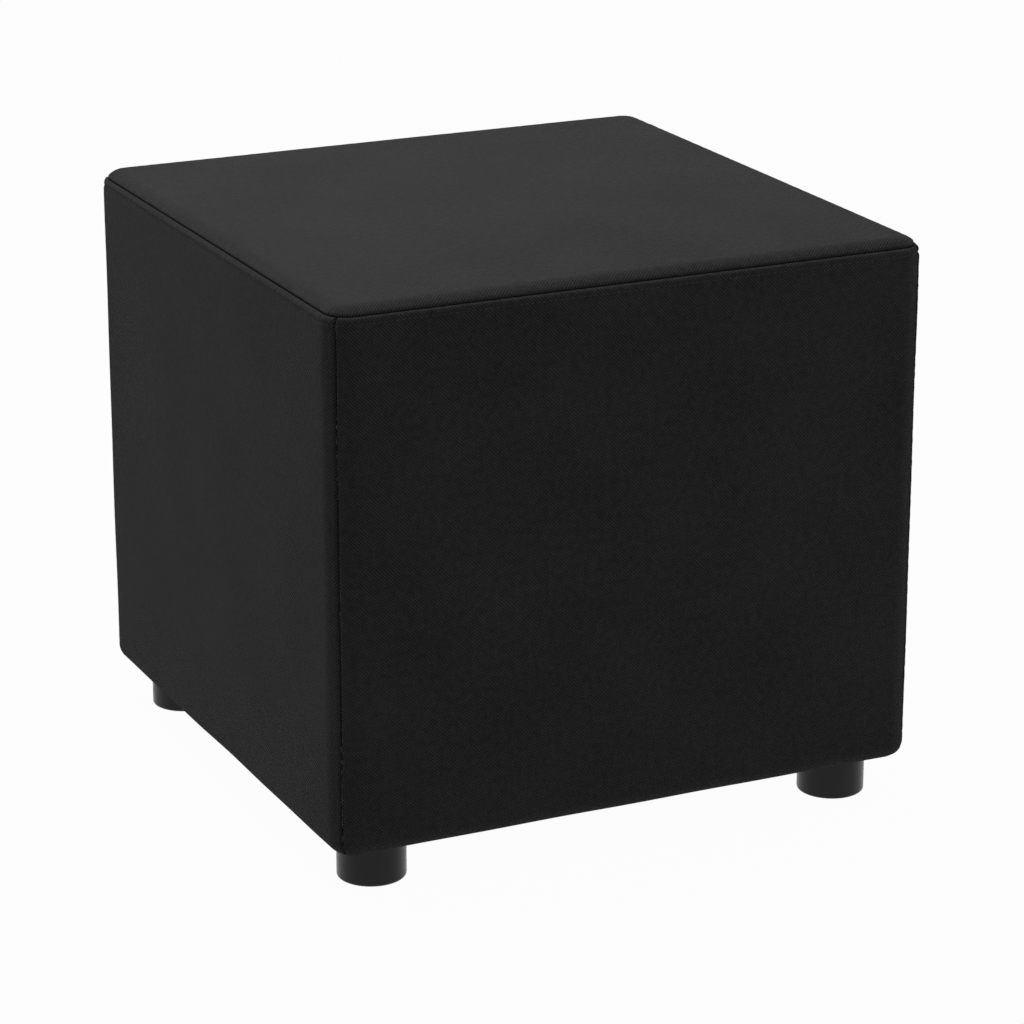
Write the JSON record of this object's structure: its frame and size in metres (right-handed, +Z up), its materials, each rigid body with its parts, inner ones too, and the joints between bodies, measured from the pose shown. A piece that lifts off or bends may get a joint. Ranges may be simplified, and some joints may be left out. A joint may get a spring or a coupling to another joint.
{
  "type": "storage ottoman",
  "caption": "Upholstered cube footstool on short round feet, with a padded lid on a fabric hinge, closed by a zip in the top seam, over a lined storage space.",
  "frame": {"origin": "on the floor, under the middle of the cube", "axes": "+Z up, -Y the front, +Y the side where the lid is hinged, X across the width"},
  "size_m": [0.3623, 0.36, 0.335],
  "materials": {
    "cover": "matt black fine twill",
    "feet": "black, moulded, semi-gloss",
    "lining": "black spunbond non-woven",
    "board": "raw particleboard",
    "timber": "planed pine",
    "foam": "polyurethane foam and polyester wadding",
    "zip_tape": "black woven tape",
    "zip_coil": "black nylon coil",
    "zip_metal": "black lacquered zinc",
    "screws": "zinc plated",
    "staples": "galvanised wire"
  },
  "bodies": {
    "frame": {"assembly_screws": "screws", "back_padding": "foam", "back_wall": "board", "base_board": "board", "corner_posts": "timber", "cover_back": "cover", "cover_front": "cover", "cover_left": "cover", "cover_right": "cover", "dust_cover": "lining", "dust_cover_staples": "staples", "floor_lining": "lining", "foot_back_left": "feet", "foot_back_right": "feet", "foot_front_left": "feet", "foot_front_right": "feet", "foot_screws": "screws", "front_padding": "foam", "front_wall": "board", "hem_staples": "staples", "left_padding": "foam", "left_wall": "board", "lid_ledges": "timber", "lower_zip_coil": "zip_coil", "lower_zip_tape": "zip_tape", "right_padding": "foam", "right_wall": "board", "rim_facing": "lining", "storage_lining": "lining", "zip_end_stops": "zip_metal"},
    "lid": {"lid_lining": "lining", "lid_board": "board", "seat_foam": "foam", "seat_wadding": "foam", "cover_top": "cover", "upper_zip_tape": "zip_tape", "upper_zip_coil": "zip_coil", "lid_staples": "staples"},
    "slider": {"zip_slider": "zip_metal"},
    "pull_tab": {"zip_pull_tab": "zip_metal"}
  },
  "joints": [
    {"name": "lid_hinge", "type": "hinge", "parent": "frame", "child": "lid", "pos_m": [0, 0.17808, 0.33072], "axis": [-1, 0, 0], "range_deg": [0, 165]},
    {"name": "zip_slide", "type": "slide", "parent": "frame", "child": "slider", "axis": [0, -1, 0], "range_m": [0, 0.3]},
    {"name": "pull_tab_swing", "type": "hinge", "parent": "slider", "child": "pull_tab", "pos_m": [0.18136, 0.1505, 0.32612], "axis": [0, -1, 0], "range_deg": [0, 135]}
  ]
}
